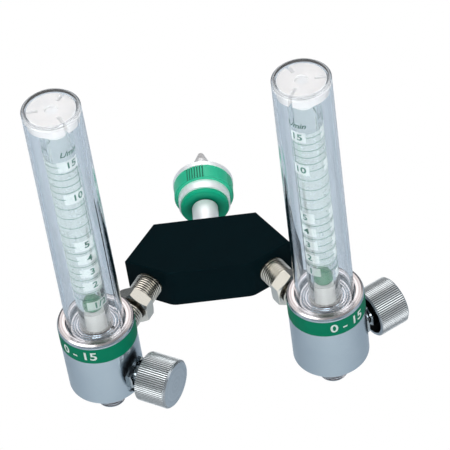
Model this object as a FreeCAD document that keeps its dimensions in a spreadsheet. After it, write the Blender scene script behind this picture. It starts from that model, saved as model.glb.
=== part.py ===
import FreeCAD, Part
import math
import os
import Sketcher

# Twin oxygen flowmeter: two tube meters on one manifold block, fed from one wall inlet.
# X runs to the right, Y runs back towards the wall, Z is up.
# The origin is on the inlet axis, where the straight shank of the inlet meets its nose.

doc = FreeCAD.newDocument("oxygen_flowmeter")
sheet = doc.addObject("Spreadsheet::Sheet", "Dims")
OUT_DIR = "parts"
UP = FreeCAD.Vector(0, 0, 1)
NODES = []


class Size:
    """A length or angle that knows both its number and the sheet expression behind it."""

    def __init__(self, value, text):
        self.value = value
        self.text = text

    def __add__(self, other):
        other = as_size(other)
        return Size(self.value + other.value, f"({self.text} + {other.text})")

    def __sub__(self, other):
        other = as_size(other)
        return Size(self.value - other.value, f"({self.text} - {other.text})")

    def __mul__(self, other):
        other = as_size(other)
        return Size(self.value * other.value, f"({self.text} * {other.text})")

    def __truediv__(self, other):
        other = as_size(other)
        return Size(self.value / other.value, f"({self.text} / {other.text})")

    def __neg__(self):
        return Size(-self.value, f"(0 - {self.text})")

    def __radd__(self, other):
        return as_size(other) + self

    def __rsub__(self, other):
        return as_size(other) - self

    def __rmul__(self, other):
        return as_size(other) * self


def as_size(value):
    if isinstance(value, Size):
        return value
    return Size(float(value), repr(float(value)))


def cos(angle):
    return Size(math.cos(math.radians(angle.value)), f"cos({angle.text})")


def sin(angle):
    return Size(math.sin(math.radians(angle.value)), f"sin({angle.text})")


def tan(angle):
    return Size(math.tan(math.radians(angle.value)), f"tan({angle.text})")


def square_root(size):
    return Size(math.sqrt(size.value), f"sqrt({size.text})")


def dim(alias, value):
    """Write one driving dimension into the sheet and hand back its Size."""
    row = dim.row
    dim.row += 1
    sheet.set(f"A{row}", alias)
    sheet.set(f"B{row}", str(value))
    sheet.setAlias(f"B{row}", alias)
    return Size(float(value), f"Dims.{alias}")


dim.row = 1

# Wall inlet, lengths along Y
stem_dia = dim("stem_dia", 13.5)
stem_length = dim("stem_length", 18.5)
stem_thread_dia = dim("stem_thread_dia", 12.7)
port_depth = dim("port_depth", 12)
neck_dia = dim("neck_dia", 10.6)
neck_length = dim("neck_length", 12.3)
shoulder_step = dim("shoulder_step", 0.9)
shoulder_length = dim("shoulder_length", 1.7)
shank_dia = dim("shank_dia", 9)
shank_length = dim("shank_length", 15)
nose_length = dim("nose_length", 5)
nose_drop = dim("nose_drop", 0.4)
cone_length = dim("cone_length", 6.6)
tip_dia = dim("tip_dia", 3)
inlet_bore = dim("inlet_bore", 2)

# Hand nut that turns and slides on the neck of the inlet stem
nut_gap = dim("nut_gap", 0.4)
nut_running_gap = dim("nut_running_gap", 0.3)
cap_dia = dim("cap_dia", 25.2)
cap_length = dim("cap_length", 2.2)
cap_dish = dim("cap_dish", 0.8)
cap_rim = dim("cap_rim", 1)
cap_edge = dim("cap_edge", 0.4)
ring_dia = dim("ring_dia", 27)
ring_length = dim("ring_length", 5.6)
grip_dia = dim("grip_dia", 31)
grip_wall = dim("grip_wall", 3.5)
grip_length = dim("grip_length", 8.6)
grip_edge = dim("grip_edge", 0.5)
line_dia = dim("line_dia", 0.8)
line_step = dim("line_step", 5.3)
line_turn = dim("line_turn", 12)
line_count = 7
line_groups = 4
nut_flange_proud = dim("nut_flange_proud", 0.3)
nut_flange_length = dim("nut_flange_length", 3.2)
nut_flange_edge = dim("nut_flange_edge", 0.6)
nut_thread_play = dim("nut_thread_play", 0.8)
washer_length = dim("washer_length", 1)
washer_gap = dim("washer_gap", 0.1)

# Manifold block
block_height = dim("block_height", 24)
back_half = dim("back_half", 26.3)
half_width = dim("half_width", 42)
front_half = dim("front_half", 20.5)
side_depth = dim("side_depth", 24)
splay = dim("splay", 30)
block_front_radius = dim("block_front_radius", 9)
block_edge = dim("block_edge", 0.5)
gallery_dia = dim("gallery_dia", 5)

# Oxygen thread used on every outlet and inlet fitting
thread_dia = dim("thread_dia", 14.28)
thread_pitch = dim("thread_pitch", 1.41)
thread_depth = dim("thread_depth", 0.8)
thread_lead = dim("thread_lead", 0.4)

# Fitting between block and meter, along the port axis from the meter axis outwards
port_reach = dim("port_reach", 50)
port_thread = dim("port_thread", 10)
adapter_exposed = dim("adapter_exposed", 15.9)
hex_wall = dim("hex_wall", 1.6)
hex_length = dim("hex_length", 7)
hex_overlap = dim("hex_overlap", 3.7)
hex_web = dim("hex_web", 1.8)
shoulder_play = dim("shoulder_play", 0.4)
shoulder_land = dim("shoulder_land", 1.3)
nipple_shoulder_length = dim("nipple_shoulder_length", 1.2)
nipple_nose_dia = dim("nipple_nose_dia", 8.6)
nipple_nose_length = dim("nipple_nose_length", 4)
nose_play = dim("nose_play", 0.3)
nose_taper = dim("nose_taper", 0.8)
nipple_bore = dim("nipple_bore", 4.8)
filter_length = dim("filter_length", 3)
fit_gap = dim("fit_gap", 0.1)
seal_cord = dim("seal_cord", 1)

# Meter body, heights from the port axis
body_dia = dim("body_dia", 38.1)
rim_rise = dim("rim_rise", 26)
body_height = dim("body_height", 49)
body_foot_dia = dim("body_foot_dia", 27)
foot_slope_height = dim("foot_slope_height", 7)
rim_round = dim("rim_round", 1.4)
rim_wall = dim("rim_wall", 4.05)
rim_land = dim("rim_land", 3.5)
rim_step = dim("rim_step", 0.4)
cavity_depth = dim("cavity_depth", 13)
pedestal_drop = dim("pedestal_drop", 2.6)
pedestal_play = dim("pedestal_play", 0.4)
groove_half = dim("groove_half", 0.3)
groove_depth = dim("groove_depth", 0.35)
groove_count = 3
seat_pocket_depth = dim("seat_pocket_depth", 5)
seat_flange_dia = dim("seat_flange_dia", 15.4)
band_drop = dim("band_drop", 2.3)
band_height = dim("band_height", 9.6)
band_recess = dim("band_recess", 0.3)
band_proud = dim("band_proud", 0.1)
passage_dia = dim("passage_dia", 4)
return_dia = dim("return_dia", 2)
return_gap = dim("return_gap", 0.4)

# Clear shroud and flow tube
shroud_height = dim("shroud_height", 140)
shroud_play = dim("shroud_play", 0.4)
shroud_foot_flange = dim("shroud_foot_flange", 0.2)
shroud_draft = dim("shroud_draft", 0.7)
shroud_wall = dim("shroud_wall", 1.3)
shroud_top_wall = dim("shroud_top_wall", 2.2)
shroud_edge = dim("shroud_edge", 0.8)
shroud_corner = dim("shroud_corner", 1)
shroud_foot_drop = dim("shroud_foot_drop", 2)
shroud_ridge = dim("shroud_ridge", 0.9)
shroud_ridges = 3
gasket_cord = dim("gasket_cord", 1.5)
flow_tube_dia = dim("flow_tube_dia", 15.5)
flow_tube_top_drop = dim("flow_tube_top_drop", 7)
ball_dia = dim("ball_dia", 9.525)
ball_play = dim("ball_play", 0.35)
bore_taper = dim("bore_taper", 1.2)
seat_ledge = dim("seat_ledge", 0.3)
spigot_rise = dim("spigot_rise", 8.8)
seat_mouth_dia = dim("seat_mouth_dia", 5.2)
retainer_gap = dim("retainer_gap", 0.4)
retainer_edge = dim("retainer_edge", 1)
retainer_plug = dim("retainer_plug", 7)
retainer_slot = dim("retainer_slot", 1.8)
retainer_slot_start = dim("retainer_slot_start", 6)
retainer_slots = 3
recess_dia = dim("recess_dia", 6.4)
recess_depth = dim("recess_depth", 1.5)

# Needle valve and knob, along the valve axis
valve_drop = dim("valve_drop", 7)
spotface_dia = dim("spotface_dia", 20)
spotface_cut = dim("spotface_cut", 2.05)
valve_bore_dia = dim("valve_bore_dia", 10)
valve_bore_depth = dim("valve_bore_depth", 9.5)
needle_hole_dia = dim("needle_hole_dia", 2.6)
bonnet_shank = dim("bonnet_shank", 4.4)
bonnet_hex_wall = dim("bonnet_hex_wall", 2.4)
bonnet_hex_length = dim("bonnet_hex_length", 2.6)
bonnet_neck_wall = dim("bonnet_neck_wall", 2.2)
bonnet_neck_length = dim("bonnet_neck_length", 5.4)
packing_wall = dim("packing_wall", 0.9)
packing_length = dim("packing_length", 5)
packing_overlap = dim("packing_overlap", 2.5)
spindle_dia = dim("spindle_dia", 4.8)
running_fit = dim("running_fit", 0.05)
needle_length = dim("needle_length", 3)
needle_tip_dia = dim("needle_tip_dia", 0.8)
needle_play = dim("needle_play", 0.1)
needle_lift = dim("needle_lift", 0.2)
needle_shoulder = dim("needle_shoulder", 1.2)
knob_dia = dim("knob_dia", 25.1)
knob_gap = dim("knob_gap", 4.3)
knob_length = dim("knob_length", 16.7)
knob_wall = dim("knob_wall", 1.8)
knob_end_wall = dim("knob_end_wall", 4.5)
knob_hub_wall = dim("knob_hub_wall", 2.6)
knob_hub_gap = dim("knob_hub_gap", 1.5)
knob_edge = dim("knob_edge", 1)
knob_back_edge = dim("knob_back_edge", 0.5)
knob_socket = dim("knob_socket", 1.5)
flute_side = dim("flute_side", 1)
flute_depth = dim("flute_depth", 0.4)
flute_count = 72
screw_dia = dim("screw_dia", 2)
screw_setback = dim("screw_setback", 2.2)

# Outlet under each meter
outlet_length = dim("outlet_length", 11)
outlet_shank_dia = dim("outlet_shank_dia", 10)
outlet_shank_length = dim("outlet_shank_length", 6)
outlet_mouth_dia = dim("outlet_mouth_dia", 8.4)
outlet_mouth_depth = dim("outlet_mouth_depth", 7)
outlet_collar = dim("outlet_collar", 1.2)
outlet_collar_proud = dim("outlet_collar_proud", 0.6)

doc.recompute()

# Places worked out from the sizes
shoulder_start = stem_length + neck_length
shoulder_end = shoulder_start + shoulder_length
shank_end = shoulder_end + shank_length
nose_end = shank_end + nose_length
block_back = -shank_end
shoulder_dia = neck_dia + shoulder_step * 2
nut_thread_dia = shoulder_dia + nut_thread_play * 2
nut_hole_r = neck_dia / 2 + nut_running_gap
cap_start = stem_length + nut_gap
ring_start = cap_start + cap_length
grip_start = ring_start + ring_length
flange_start = grip_start + grip_length
nut_end = flange_start + nut_flange_length
grip_r = grip_dia / 2
grip_bore_r = grip_r - grip_wall

block_slope = (half_width - front_half) * tan(splay)
block_depth = side_depth + block_slope
face_mid_x = (half_width + front_half) / 2
face_mid_y = -side_depth - block_slope / 2
meter_x = face_mid_x + port_reach * sin(splay)
meter_y = block_back + face_mid_y - port_reach * cos(splay)

thread_r = thread_dia / 2
thread_core_r = thread_r - thread_depth
adapter_start = port_reach - adapter_exposed
hex_end = adapter_start + hex_overlap
hex_start = hex_end - hex_length
hex_width = thread_dia + hex_wall * 2
nipple_shoulder_end = adapter_start - fit_gap
nipple_shoulder_start = nipple_shoulder_end - nipple_shoulder_length
nipple_shoulder_r = thread_r - shoulder_play
nipple_neck_r = nipple_shoulder_r - shoulder_land

body_r = body_dia / 2
port_floor = body_r - port_thread
body_bottom = rim_rise - body_height
cavity_r = body_r - rim_wall
cavity_floor = rim_rise - cavity_depth
pedestal_top = rim_rise - pedestal_drop
seat_floor = pedestal_top - seat_pocket_depth
band_top = rim_rise - band_drop
band_low = band_top - band_height
return_offset = seat_flange_dia / 2 + return_gap + return_dia / 2

shroud_foot = cavity_floor + gasket_cord
shroud_foot_top = rim_rise - shroud_foot_drop
shroud_top = rim_rise + shroud_height
shroud_foot_r = cavity_r - shroud_play
shroud_base_r = shroud_foot_r - shroud_foot_flange
shroud_top_r = shroud_base_r - shroud_draft
pedestal_r = shroud_base_r - shroud_wall - pedestal_play
groove_step = (pedestal_r - seat_flange_dia / 2) / (groove_count + 1)
ceiling = shroud_top - shroud_top_wall
flow_tube_top = shroud_top - flow_tube_top_drop
spigot_top = rim_rise + spigot_rise
bore_low_r = ball_dia / 2 + ball_play / 2
bore_high_r = bore_low_r + bore_taper / 2
spigot_r = bore_low_r + seat_ledge

valve_height = -valve_drop
spindle_r = spindle_dia / 2
spotface_reach = body_r - spotface_cut
valve_bore_floor = spotface_reach - valve_bore_depth
bonnet_shank_start = spotface_reach - bonnet_shank
bonnet_hex_end = spotface_reach + bonnet_hex_length
bonnet_neck_end = bonnet_hex_end + bonnet_neck_length
bonnet_neck_r = spindle_r + bonnet_neck_wall
bonnet_hex = (bonnet_neck_r + bonnet_hex_wall) * 2
packing_hex = (bonnet_neck_r + packing_wall) * 2
packing_start = bonnet_neck_end - packing_overlap
packing_end = packing_start + packing_length
seal_reach = (bonnet_shank_start + spotface_reach) / 2
knob_start = body_r + knob_gap
knob_end = knob_start + knob_length
knob_hub_start = packing_end + knob_hub_gap
knob_hub_end = knob_end - knob_end_wall
spindle_end = knob_hub_end + knob_socket
screw_reach = knob_hub_end - screw_setback


def points_to_constraints(sketch, points):
    """Lay a closed outline and tie each corner to the sheet."""
    vectors = [FreeCAD.Vector(as_size(u).value, as_size(v).value, 0) for u, v in points]
    count = len(vectors)
    lines = [Part.LineSegment(vectors[i], vectors[(i + 1) % count]) for i in range(count)]
    sketch.addGeometry(lines, False)
    joins = [Sketcher.Constraint("Coincident", i, 2, (i + 1) % count, 1) for i in range(count)]
    sketch.addConstraint(joins)
    for i, (u, v) in enumerate(points):
        for kind, axis, value in (("DistanceX", -2, as_size(u)), ("DistanceY", -1, as_size(v))):
            if value.text == "0.0":
                sketch.addConstraint(Sketcher.Constraint("PointOnObject", i, 1, axis))
                continue
            index = sketch.addConstraint(Sketcher.Constraint(kind, -1, 1, i, 1, value.value))
            sketch.setExpression(f"Constraints[{index}]", value.text)


def origin_item(body, role):
    return next(item for item in body.Origin.OriginFeatures if item.Role == role)


def new_body(name):
    body = doc.addObject("PartDesign::Body", name)
    body.Label = name
    NODES.append(body)
    return body


def new_sketch(body, role, points):
    sketch = body.newObject("Sketcher::SketchObject", body.Name + "_outline")
    sketch.AttachmentSupport = [(origin_item(body, role), "")]
    sketch.MapMode = "FlatFace"
    points_to_constraints(sketch, points)
    return sketch


def turned(body, points):
    """Revolve an outline of (radius, height) corners about the body's Z axis."""
    sketch = new_sketch(body, "XZ_Plane", points)
    feature = body.newObject("PartDesign::Revolution", body.Name + "_turned")
    feature.Profile = sketch
    feature.ReferenceAxis = (sketch, ["V_Axis"])
    feature.Angle = 360
    sketch.Visibility = False
    return feature


def grooved(body, points):
    """Cut a turned groove with the given (radius, height) corners."""
    sketch = new_sketch(body, "XZ_Plane", points)
    feature = body.newObject("PartDesign::Groove", body.Name + "_groove")
    feature.Profile = sketch
    feature.ReferenceAxis = (sketch, ["V_Axis"])
    feature.Angle = 360
    return feature


def padded(body, points, length, start=0):
    """Pad an outline in the XY plane upwards, from the start height."""
    sketch = new_sketch(body, "XY_Plane", points)
    start = as_size(start)
    sketch.setExpression("AttachmentOffset.Base.z", start.text)
    feature = body.newObject("PartDesign::Pad", body.Name + "_pad")
    feature.Profile = sketch
    feature.setExpression("Length", as_size(length).text)
    return feature


def place(item, x, y, z, rotation=None):
    """Put an item at a point that follows the sheet."""
    x, y, z = as_size(x), as_size(y), as_size(z)
    turn = rotation or FreeCAD.Rotation()
    item.Placement = FreeCAD.Placement(FreeCAD.Vector(x.value, y.value, z.value), turn)
    for axis, value in (("x", x), ("y", y), ("z", z)):
        item.setExpression(f"Placement.Base.{axis}", value.text)


def rod(body, kind, name, radius, length, x, y, z, direction):
    """Add or cut a round rod that starts at a point and runs along a direction."""
    feature = body.newObject(f"PartDesign::{kind}Cylinder", f"{body.Name}_{name}")
    feature.setExpression("Radius", as_size(radius).text)
    feature.setExpression("Height", as_size(length).text)
    place(feature, x, y, z, FreeCAD.Rotation(UP, direction))
    return feature


def drill(body, name, radius, length, x, y, z, direction):
    return rod(body, "Subtractive", name, radius, length, x, y, z, direction)


def slot(body, name, length, width, height, x, y, z, rotation):
    """Cut a box-shaped slot."""
    feature = body.newObject("PartDesign::SubtractiveBox", f"{body.Name}_{name}")
    feature.setExpression("Length", as_size(length).text)
    feature.setExpression("Width", as_size(width).text)
    feature.setExpression("Height", as_size(height).text)
    place(feature, x, y, z, rotation)
    return feature


def polar(body, feature, count, angle):
    """Repeat a feature about the body's Z axis."""
    pattern = body.newObject("PartDesign::PolarPattern", feature.Name + "_ring")
    pattern.Originals = [feature]
    pattern.Axis = (origin_item(body, "Z_Axis"), [""])
    pattern.Occurrences = count
    pattern.setExpression("Angle", as_size(angle).text)
    body.Tip = pattern
    return pattern


def hexagon(width, turned=False):
    """Corners of a hexagon with flats across the local Y direction, or across X if turned."""
    corner = width / (2 * math.cos(math.radians(30)))
    corners = [
        (corner, 0),
        (corner / 2, width / 2),
        (-corner / 2, width / 2),
        (-corner, 0),
        (-corner / 2, -width / 2),
        (corner / 2, -width / 2),
    ]
    return [(-v, u) for u, v in corners] if turned else corners


def hex_corner_cut(body, width, face, inward):
    """Turn the corners of a hexagon down to a 30 degree chamfer at one face."""
    flat = width / 2 * 0.97
    reach = width / 2 * 1.3
    fall = (reach - flat) * math.tan(math.radians(30)) * inward
    return grooved(body, [(flat, face), (reach, face), (reach, face + fall)])


def ridges(low, high, from_high=False):
    """Corners of the thread's V ridges that fit between two heights, as (radius, height).

    The ridges start at the low end, or else they end at the high one.
    """
    count = max(1, int((high.value - low.value) / thread_pitch.value))
    if from_high:
        low = high - thread_pitch * count
    run = []
    for index in range(count):
        root = low + thread_pitch * index
        run.append((thread_core_r, root))
        run.append((thread_r, root + thread_pitch * 0.35))
        run.append((thread_r, root + thread_pitch * 0.65))
    run.append((thread_core_r, low + thread_pitch * count))
    return run


# Wall inlet

def make_block():
    body = new_body("manifold_block")
    outline = [
        (-back_half, 0),
        (-half_width, -side_depth),
        (-front_half, -block_depth),
        (front_half, -block_depth),
        (half_width, -side_depth),
        (back_half, 0),
    ]
    pad = padded(body, outline, block_height, -block_height / 2)
    doc.recompute()
    front = []
    for index, edge in enumerate(pad.Shape.Edges):
        low, high = edge.BoundBox.ZMin, edge.BoundBox.ZMax
        centre = edge.CenterOfMass
        if high - low > 1 and abs(centre.y + block_depth.value) < 0.01:
            front.append(f"Edge{index + 1}")
    fillet = body.newObject("PartDesign::Fillet", "manifold_block_front")
    fillet.Base = (pad, front)
    fillet.setExpression("Radius", block_front_radius.text)
    doc.recompute()
    ends = []
    for index, face in enumerate(fillet.Shape.Faces):
        if abs(face.normalAt(0, 0).z) > 0.99:
            ends.append(f"Face{index + 1}")
    chamfer = body.newObject("PartDesign::Chamfer", "manifold_block_edges")
    chamfer.Base = (fillet, ends)
    chamfer.setExpression("Size", block_edge.text)
    back = FreeCAD.Vector(0, 1, 0)
    across = FreeCAD.Vector(1, 0, 0)
    floor_x = face_mid_x - port_depth * sin(splay)
    floor_y = face_mid_y + port_depth * cos(splay)
    drill(body, "inlet_port", stem_thread_dia / 2, port_depth, 0, -port_depth, 0, back)
    drill(body, "inlet_gallery", gallery_dia / 2, -floor_y, 0, floor_y, 0, back)
    drill(body, "cross_gallery", gallery_dia / 2, floor_x * 2, -floor_x, floor_y, 0, across)
    for side, name in ((-1, "left"), (1, "right")):
        angle = math.radians(splay.value)
        outward = FreeCAD.Vector(side * math.sin(angle), -math.cos(angle), 0)
        drill(body, f"{name}_port", thread_r, port_depth, side * floor_x, floor_y, 0, outward)
    place(body, 0, block_back, 0)


def make_inlet_stem():
    body = new_body("inlet_stem")
    bore = inlet_bore / 2
    outline = [
        (bore, -port_depth),
        (stem_thread_dia / 2, -port_depth),
        (stem_thread_dia / 2, 0),
        (stem_dia / 2, 0),
        (stem_dia / 2, stem_length),
        (neck_dia / 2, stem_length),
        (neck_dia / 2, shoulder_start),
        (shoulder_dia / 2, shoulder_start),
        (shoulder_dia / 2, shoulder_end),
        (shank_dia / 2, shoulder_end),
        (shank_dia / 2, shank_end),
        (shank_dia / 2 - nose_drop, nose_end),
        (tip_dia / 2, nose_end + cone_length),
        (bore, nose_end + cone_length),
    ]
    turned(body, outline)
    along_inlet(body)


def along_inlet(body):
    """Lay a piece that was turned about Z along the inlet axis, from the block's back face."""
    place(body, 0, block_back, 0, FreeCAD.Rotation(FreeCAD.Vector(1, 0, 0), -90))


def make_hand_nut():
    body = new_body("hand_nut")
    flange_r = grip_r + nut_flange_proud
    outline = [
        (nut_hole_r, ring_start),
        (ring_dia / 2, ring_start),
        (ring_dia / 2, grip_start),
        (grip_bore_r, grip_start),
        (grip_bore_r, flange_start),
        (flange_r, flange_start),
        (flange_r, nut_end - nut_flange_edge),
        (flange_r - nut_flange_edge, nut_end),
        (nut_thread_dia / 2 + nut_flange_edge, nut_end),
        (nut_thread_dia / 2, nut_end - nut_flange_edge),
        (nut_thread_dia / 2, grip_start),
        (nut_hole_r, grip_start),
    ]
    turned(body, outline)
    along_inlet(body)


def make_hand_nut_cap():
    body = new_body("hand_nut_cap")
    outline = [
        (nut_hole_r, cap_start + cap_dish),
        (cap_dia / 2 - cap_edge - cap_rim, cap_start),
        (cap_dia / 2 - cap_edge, cap_start),
        (cap_dia / 2, cap_start + cap_edge),
        (cap_dia / 2, ring_start),
        (nut_hole_r, ring_start),
    ]
    turned(body, outline)
    along_inlet(body)


def make_hand_nut_grip():
    body = new_body("hand_nut_grip")
    outline = [
        (grip_bore_r, grip_start),
        (grip_r - grip_edge, grip_start),
        (grip_r, grip_start + grip_edge),
        (grip_r, flange_start),
        (grip_bore_r, flange_start),
    ]
    turned(body, outline)
    group_step = 360 / line_groups
    spread = line_step * (line_count - 1)
    for group in range(line_groups):
        first = group_step * group - spread.value / 2 - line_turn.value - 90
        angle = math.radians(first)
        line = drill(body, f"line_{group}", line_dia / 2, grip_length, grip_r * math.cos(angle),
                     grip_r * math.sin(angle), grip_start, UP)
        polar(body, line, line_count, spread)
    along_inlet(body)


def make_thrust_washer():
    body = new_body("thrust_washer")
    low = grip_start + washer_gap
    inner = neck_dia / 2 + nut_running_gap / 2
    outer = nut_thread_dia / 2 - nut_running_gap
    high = low + washer_length
    turned(body, [(inner, low), (outer, low), (outer, high), (inner, high)])
    along_inlet(body)


# Meter pieces stand in the meter's own frame: inlet along +Y, valve along +X, scale facing -Y

class Meter:
    """Where one meter stands and which way it is turned."""

    def __init__(self, name, side):
        self.name = name
        self.side = side
        self.turn = FreeCAD.Rotation(UP, side * splay.value)

    def body(self, piece):
        return new_body(f"{self.name}_{piece}")

    def upright(self, body, rise=0):
        place(body, self.side * meter_x, meter_y, rise, self.turn)

    def along_port(self, body):
        roll = FreeCAD.Rotation(FreeCAD.Vector(1, 0, 0), -90)
        place(body, self.side * meter_x, meter_y, 0, self.turn.multiply(roll))

    def along_valve(self, body):
        roll = FreeCAD.Rotation(FreeCAD.Vector(0, 1, 0), 90)
        place(body, self.side * meter_x, meter_y, valve_height, self.turn.multiply(roll))


def make_block_adapter(meter):
    body = meter.body("block_adapter")
    bore = nipple_nose_dia / 2 + nose_play
    outline = [(bore, adapter_start), (thread_core_r - thread_lead, adapter_start)]
    outline += ridges(adapter_start + thread_lead, port_reach, from_high=True)
    outline += [
        (thread_r, port_reach),
        (thread_r, port_reach + port_depth),
        (bore, port_reach + port_depth),
    ]
    turned(body, outline)
    meter.along_port(body)


def make_inlet_nut(meter):
    body = meter.body("inlet_nut")
    padded(body, hexagon(hex_width, turned=True), hex_length, hex_start)
    hex_corner_cut(body, hex_width, hex_start, 1)
    hex_corner_cut(body, hex_width, hex_end, -1)
    drill(body, "web_hole", nipple_neck_r + fit_gap, hex_length, 0, 0, hex_start, UP)
    drill(body, "thread", thread_r + fit_gap, hex_length, 0, 0, hex_start + hex_web, UP)
    meter.along_port(body)


def make_inlet_nipple(meter):
    body = meter.body("inlet_nipple")
    bore = nipple_bore / 2
    nose_r = nipple_nose_dia / 2
    nipple_end = nipple_shoulder_end + nipple_nose_length
    groove = nipple_shoulder_end + seal_cord / 2
    collar_end = hex_start - thread_lead
    outline = [
        (bore, port_floor),
        (thread_r, port_floor),
        (thread_r, body_r),
    ]
    outline += ridges(body_r + thread_lead, collar_end)
    outline += [
        (thread_core_r, collar_end + fit_gap),
        (nipple_neck_r, collar_end + fit_gap),
        (nipple_neck_r, nipple_shoulder_start),
        (nipple_shoulder_r, nipple_shoulder_start),
        (nipple_shoulder_r, nipple_shoulder_end),
        (nose_r, nipple_shoulder_end),
        (nose_r, groove),
        (nose_r - seal_cord, groove),
        (nose_r - seal_cord, groove + seal_cord),
        (nose_r, groove + seal_cord),
        (nose_r - nose_taper, nipple_end),
        (bore, nipple_end),
    ]
    turned(body, outline)
    meter.along_port(body)


def make_inlet_filter(meter):
    body = meter.body("inlet_filter")
    bore = nipple_bore / 2
    low = port_floor
    outline = [(0, low), (bore, low), (bore, low + filter_length), (0, low + filter_length)]
    turned(body, outline)
    meter.along_port(body)


def ring(body, centre_r, cord, height):
    """A sealing ring about the body's Z axis, with a twelve-sided section."""
    outline = []
    for index in range(12):
        angle = math.radians(30 * index + 15)
        outline.append((centre_r + cord / 2 * math.cos(angle), height + cord / 2 * math.sin(angle)))
    turned(body, outline)


def make_inlet_seal(meter):
    body = meter.body("inlet_seal")
    height = nipple_shoulder_end + seal_cord
    ring(body, nipple_nose_dia / 2 - seal_cord / 2, seal_cord, height)
    meter.along_port(body)


def make_meter_body(meter):
    body = meter.body("meter_body")
    slope_top = body_bottom + foot_slope_height
    recess_r = body_r - band_recess
    seat_r = seat_flange_dia / 2
    outline = [
        (0, body_bottom),
        (body_foot_dia / 2, body_bottom),
        (body_r, slope_top),
        (body_r, band_low),
        (recess_r, band_low),
        (recess_r, band_top),
        (body_r, band_top),
        (body_r, rim_rise - rim_round),
        (body_r - rim_round * 0.3, rim_rise - rim_round * 0.3),
        (body_r - rim_round, rim_rise),
        (body_r - rim_land, rim_rise),
        (body_r - rim_land, rim_rise - rim_step),
        (cavity_r, rim_rise - rim_step),
        (cavity_r, cavity_floor),
        (pedestal_r, cavity_floor),
        (pedestal_r, pedestal_top),
    ]
    for index in range(groove_count):
        centre = pedestal_r - groove_step * (index + 1)
        outline += [
            (centre + groove_half, pedestal_top),
            (centre, pedestal_top - groove_depth),
            (centre - groove_half, pedestal_top),
        ]
    outline += [
        (seat_r, pedestal_top),
        (seat_r, seat_floor),
        (0, seat_floor),
    ]
    turned(body, outline)
    out = FreeCAD.Vector(1, 0, 0)
    back = FreeCAD.Vector(0, 1, 0)
    drill(body, "inlet_port", thread_r, body_r, 0, port_floor, 0, back)
    drill(body, "inlet_passage", passage_dia / 2, port_floor, 0, 0, 0, back)
    drill(body, "riser", passage_dia / 2, seat_floor, 0, 0, 0, UP)
    drill(body, "spotface", spotface_dia / 2, body_r, spotface_reach, 0, valve_height, out)
    valve_bore_r = valve_bore_dia / 2
    drill(body, "valve_bore", valve_bore_r, valve_bore_depth, valve_bore_floor, 0, valve_height, out)
    drill(body, "needle_hole", needle_hole_dia / 2, valve_bore_floor, 0, 0, valve_height, out)
    drill(body, "return", return_dia / 2, pedestal_top + valve_drop, return_offset, 0, valve_height, UP)
    down_length = valve_height - body_bottom
    drill(body, "outlet_passage", passage_dia / 2, down_length, 0, 0, body_bottom, UP)
    drill(body, "outlet_port", outlet_shank_dia / 2, outlet_shank_length, 0, 0, body_bottom, UP)
    meter.upright(body)


def make_band(meter):
    body = meter.body("label_band")
    inner = body_r - band_recess
    outer = body_r + band_proud
    turned(body, [(inner, band_low), (outer, band_low), (outer, band_top), (inner, band_top)])
    meter.upright(body)


def make_shroud(meter):
    body = meter.body("shroud")
    step = (shroud_foot_top - shroud_foot) / (2 * shroud_ridges + 1)
    outline = [(shroud_base_r - shroud_wall, shroud_foot)]
    for index in range(shroud_ridges):
        low = shroud_foot + step * (2 * index)
        outline += [
            (shroud_foot_r, low),
            (shroud_foot_r, low + step),
            (shroud_foot_r - shroud_ridge, low + step * 1.3),
            (shroud_foot_r - shroud_ridge, low + step * 1.7),
        ]
    outline += [
        (shroud_foot_r, shroud_foot_top - step),
        (shroud_foot_r, shroud_foot_top),
        (shroud_base_r, shroud_foot_top),
        (shroud_top_r, shroud_top - shroud_edge),
        (shroud_top_r - shroud_edge, shroud_top),
        (0, shroud_top),
        (0, ceiling),
        (shroud_top_r - shroud_wall - shroud_corner, ceiling),
        (shroud_top_r - shroud_wall, ceiling - shroud_corner),
    ]
    turned(body, outline)
    meter.upright(body)


def make_shroud_gasket(meter):
    body = meter.body("shroud_gasket")
    centre = (shroud_base_r - shroud_wall + cavity_r) / 2
    ring(body, centre, gasket_cord, cavity_floor + gasket_cord / 2)
    meter.upright(body)


def make_tube_seat(meter):
    body = meter.body("tube_seat")
    hole = seat_mouth_dia / 2
    outline = [
        (hole, seat_floor),
        (seat_flange_dia / 2, seat_floor),
        (seat_flange_dia / 2, pedestal_top),
        (spigot_r, pedestal_top),
        (spigot_r, spigot_top),
        (hole, spigot_top),
    ]
    turned(body, outline)
    meter.upright(body)


def make_flow_tube(meter):
    body = meter.body("flow_tube")
    outer = flow_tube_dia / 2
    socket = spigot_r + fit_gap / 2
    outline = [
        (socket, pedestal_top),
        (outer, pedestal_top),
        (outer, flow_tube_top),
        (bore_high_r, flow_tube_top),
        (bore_low_r, spigot_top),
        (socket, spigot_top),
    ]
    turned(body, outline)
    meter.upright(body)


def ball_rest_height():
    """Height of the ball's centre when it stands on the mouth of its seat."""
    reach = ball_dia * ball_dia / 4 - seat_mouth_dia * seat_mouth_dia / 4
    return spigot_top + square_root(reach) + fit_gap


def make_float_ball(meter):
    body = meter.body("float_ball")
    sphere = body.newObject("PartDesign::AdditiveSphere", body.Name + "_sphere")
    sphere.setExpression("Radius", (ball_dia / 2).text)
    meter.upright(body, ball_rest_height())


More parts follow.
